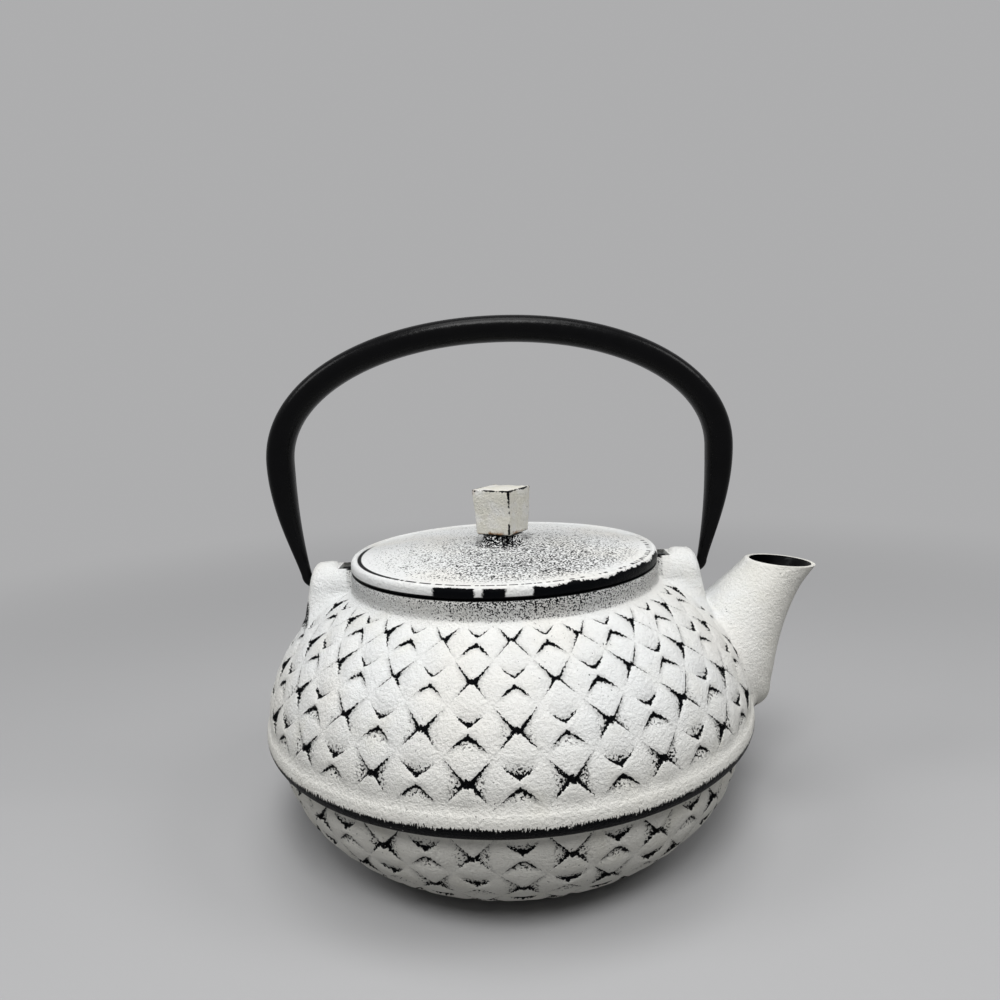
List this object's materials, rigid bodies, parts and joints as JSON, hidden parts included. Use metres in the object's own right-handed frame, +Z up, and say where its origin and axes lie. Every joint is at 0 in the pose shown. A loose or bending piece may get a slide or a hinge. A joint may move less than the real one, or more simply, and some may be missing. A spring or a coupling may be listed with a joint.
{
  "type": "teapot",
  "caption": "Small cast-iron teapot with woven diamond relief, short spout, upright folding bail, round lid with a square knob, and a lift-out strainer basket.",
  "frame": {"origin": "centre of the flat base that the pot stands on", "axes": "+Z up along the pot's axis, +X towards the spout; the bail's hinge axis runs along X"},
  "size_m": [0.1469, 0.1278, 0.1333],
  "materials": {
    "pot_paint": "chalky white paint rubbed through to black iron",
    "lid_paint": "chalky white paint with fine black stipple",
    "knob_paint": "chalky white paint worn along the edges",
    "bail_black": "satin black enamel",
    "stainless": "satin stainless steel",
    "mesh_steel": "fine woven stainless mesh"
  },
  "bodies": {
    "pot": {"pot": "pot_paint"},
    "bail": {"bail": "bail_black"},
    "lid": {"lid": "lid_paint", "knob": "knob_paint", "knob_washer": "stainless", "knob_screw": "stainless"},
    "basket": {"basket_rim": "stainless", "basket_mesh": "mesh_steel", "basket_foot": "stainless", "basket_floor": "mesh_steel"}
  },
  "joints": [
    {"name": "bail_fold", "type": "hinge", "parent": "pot", "child": "bail", "pos_m": [0, 0, 0.0653], "axis": [1, 0, 0], "range_deg": [-103, 103]},
    {"name": "lid_lift", "type": "slide", "parent": "pot", "child": "lid", "axis": [0, 0, 1], "range_m": [0, 0.034]},
    {"name": "basket_lift", "type": "slide", "parent": "pot", "child": "basket", "axis": [0, 0, 1], "range_m": [0, 0.0238]}
  ],
  "couplings": [
    {"joint": "basket_lift", "follows": "lid_lift", "ratio": 0.7}
  ]
}
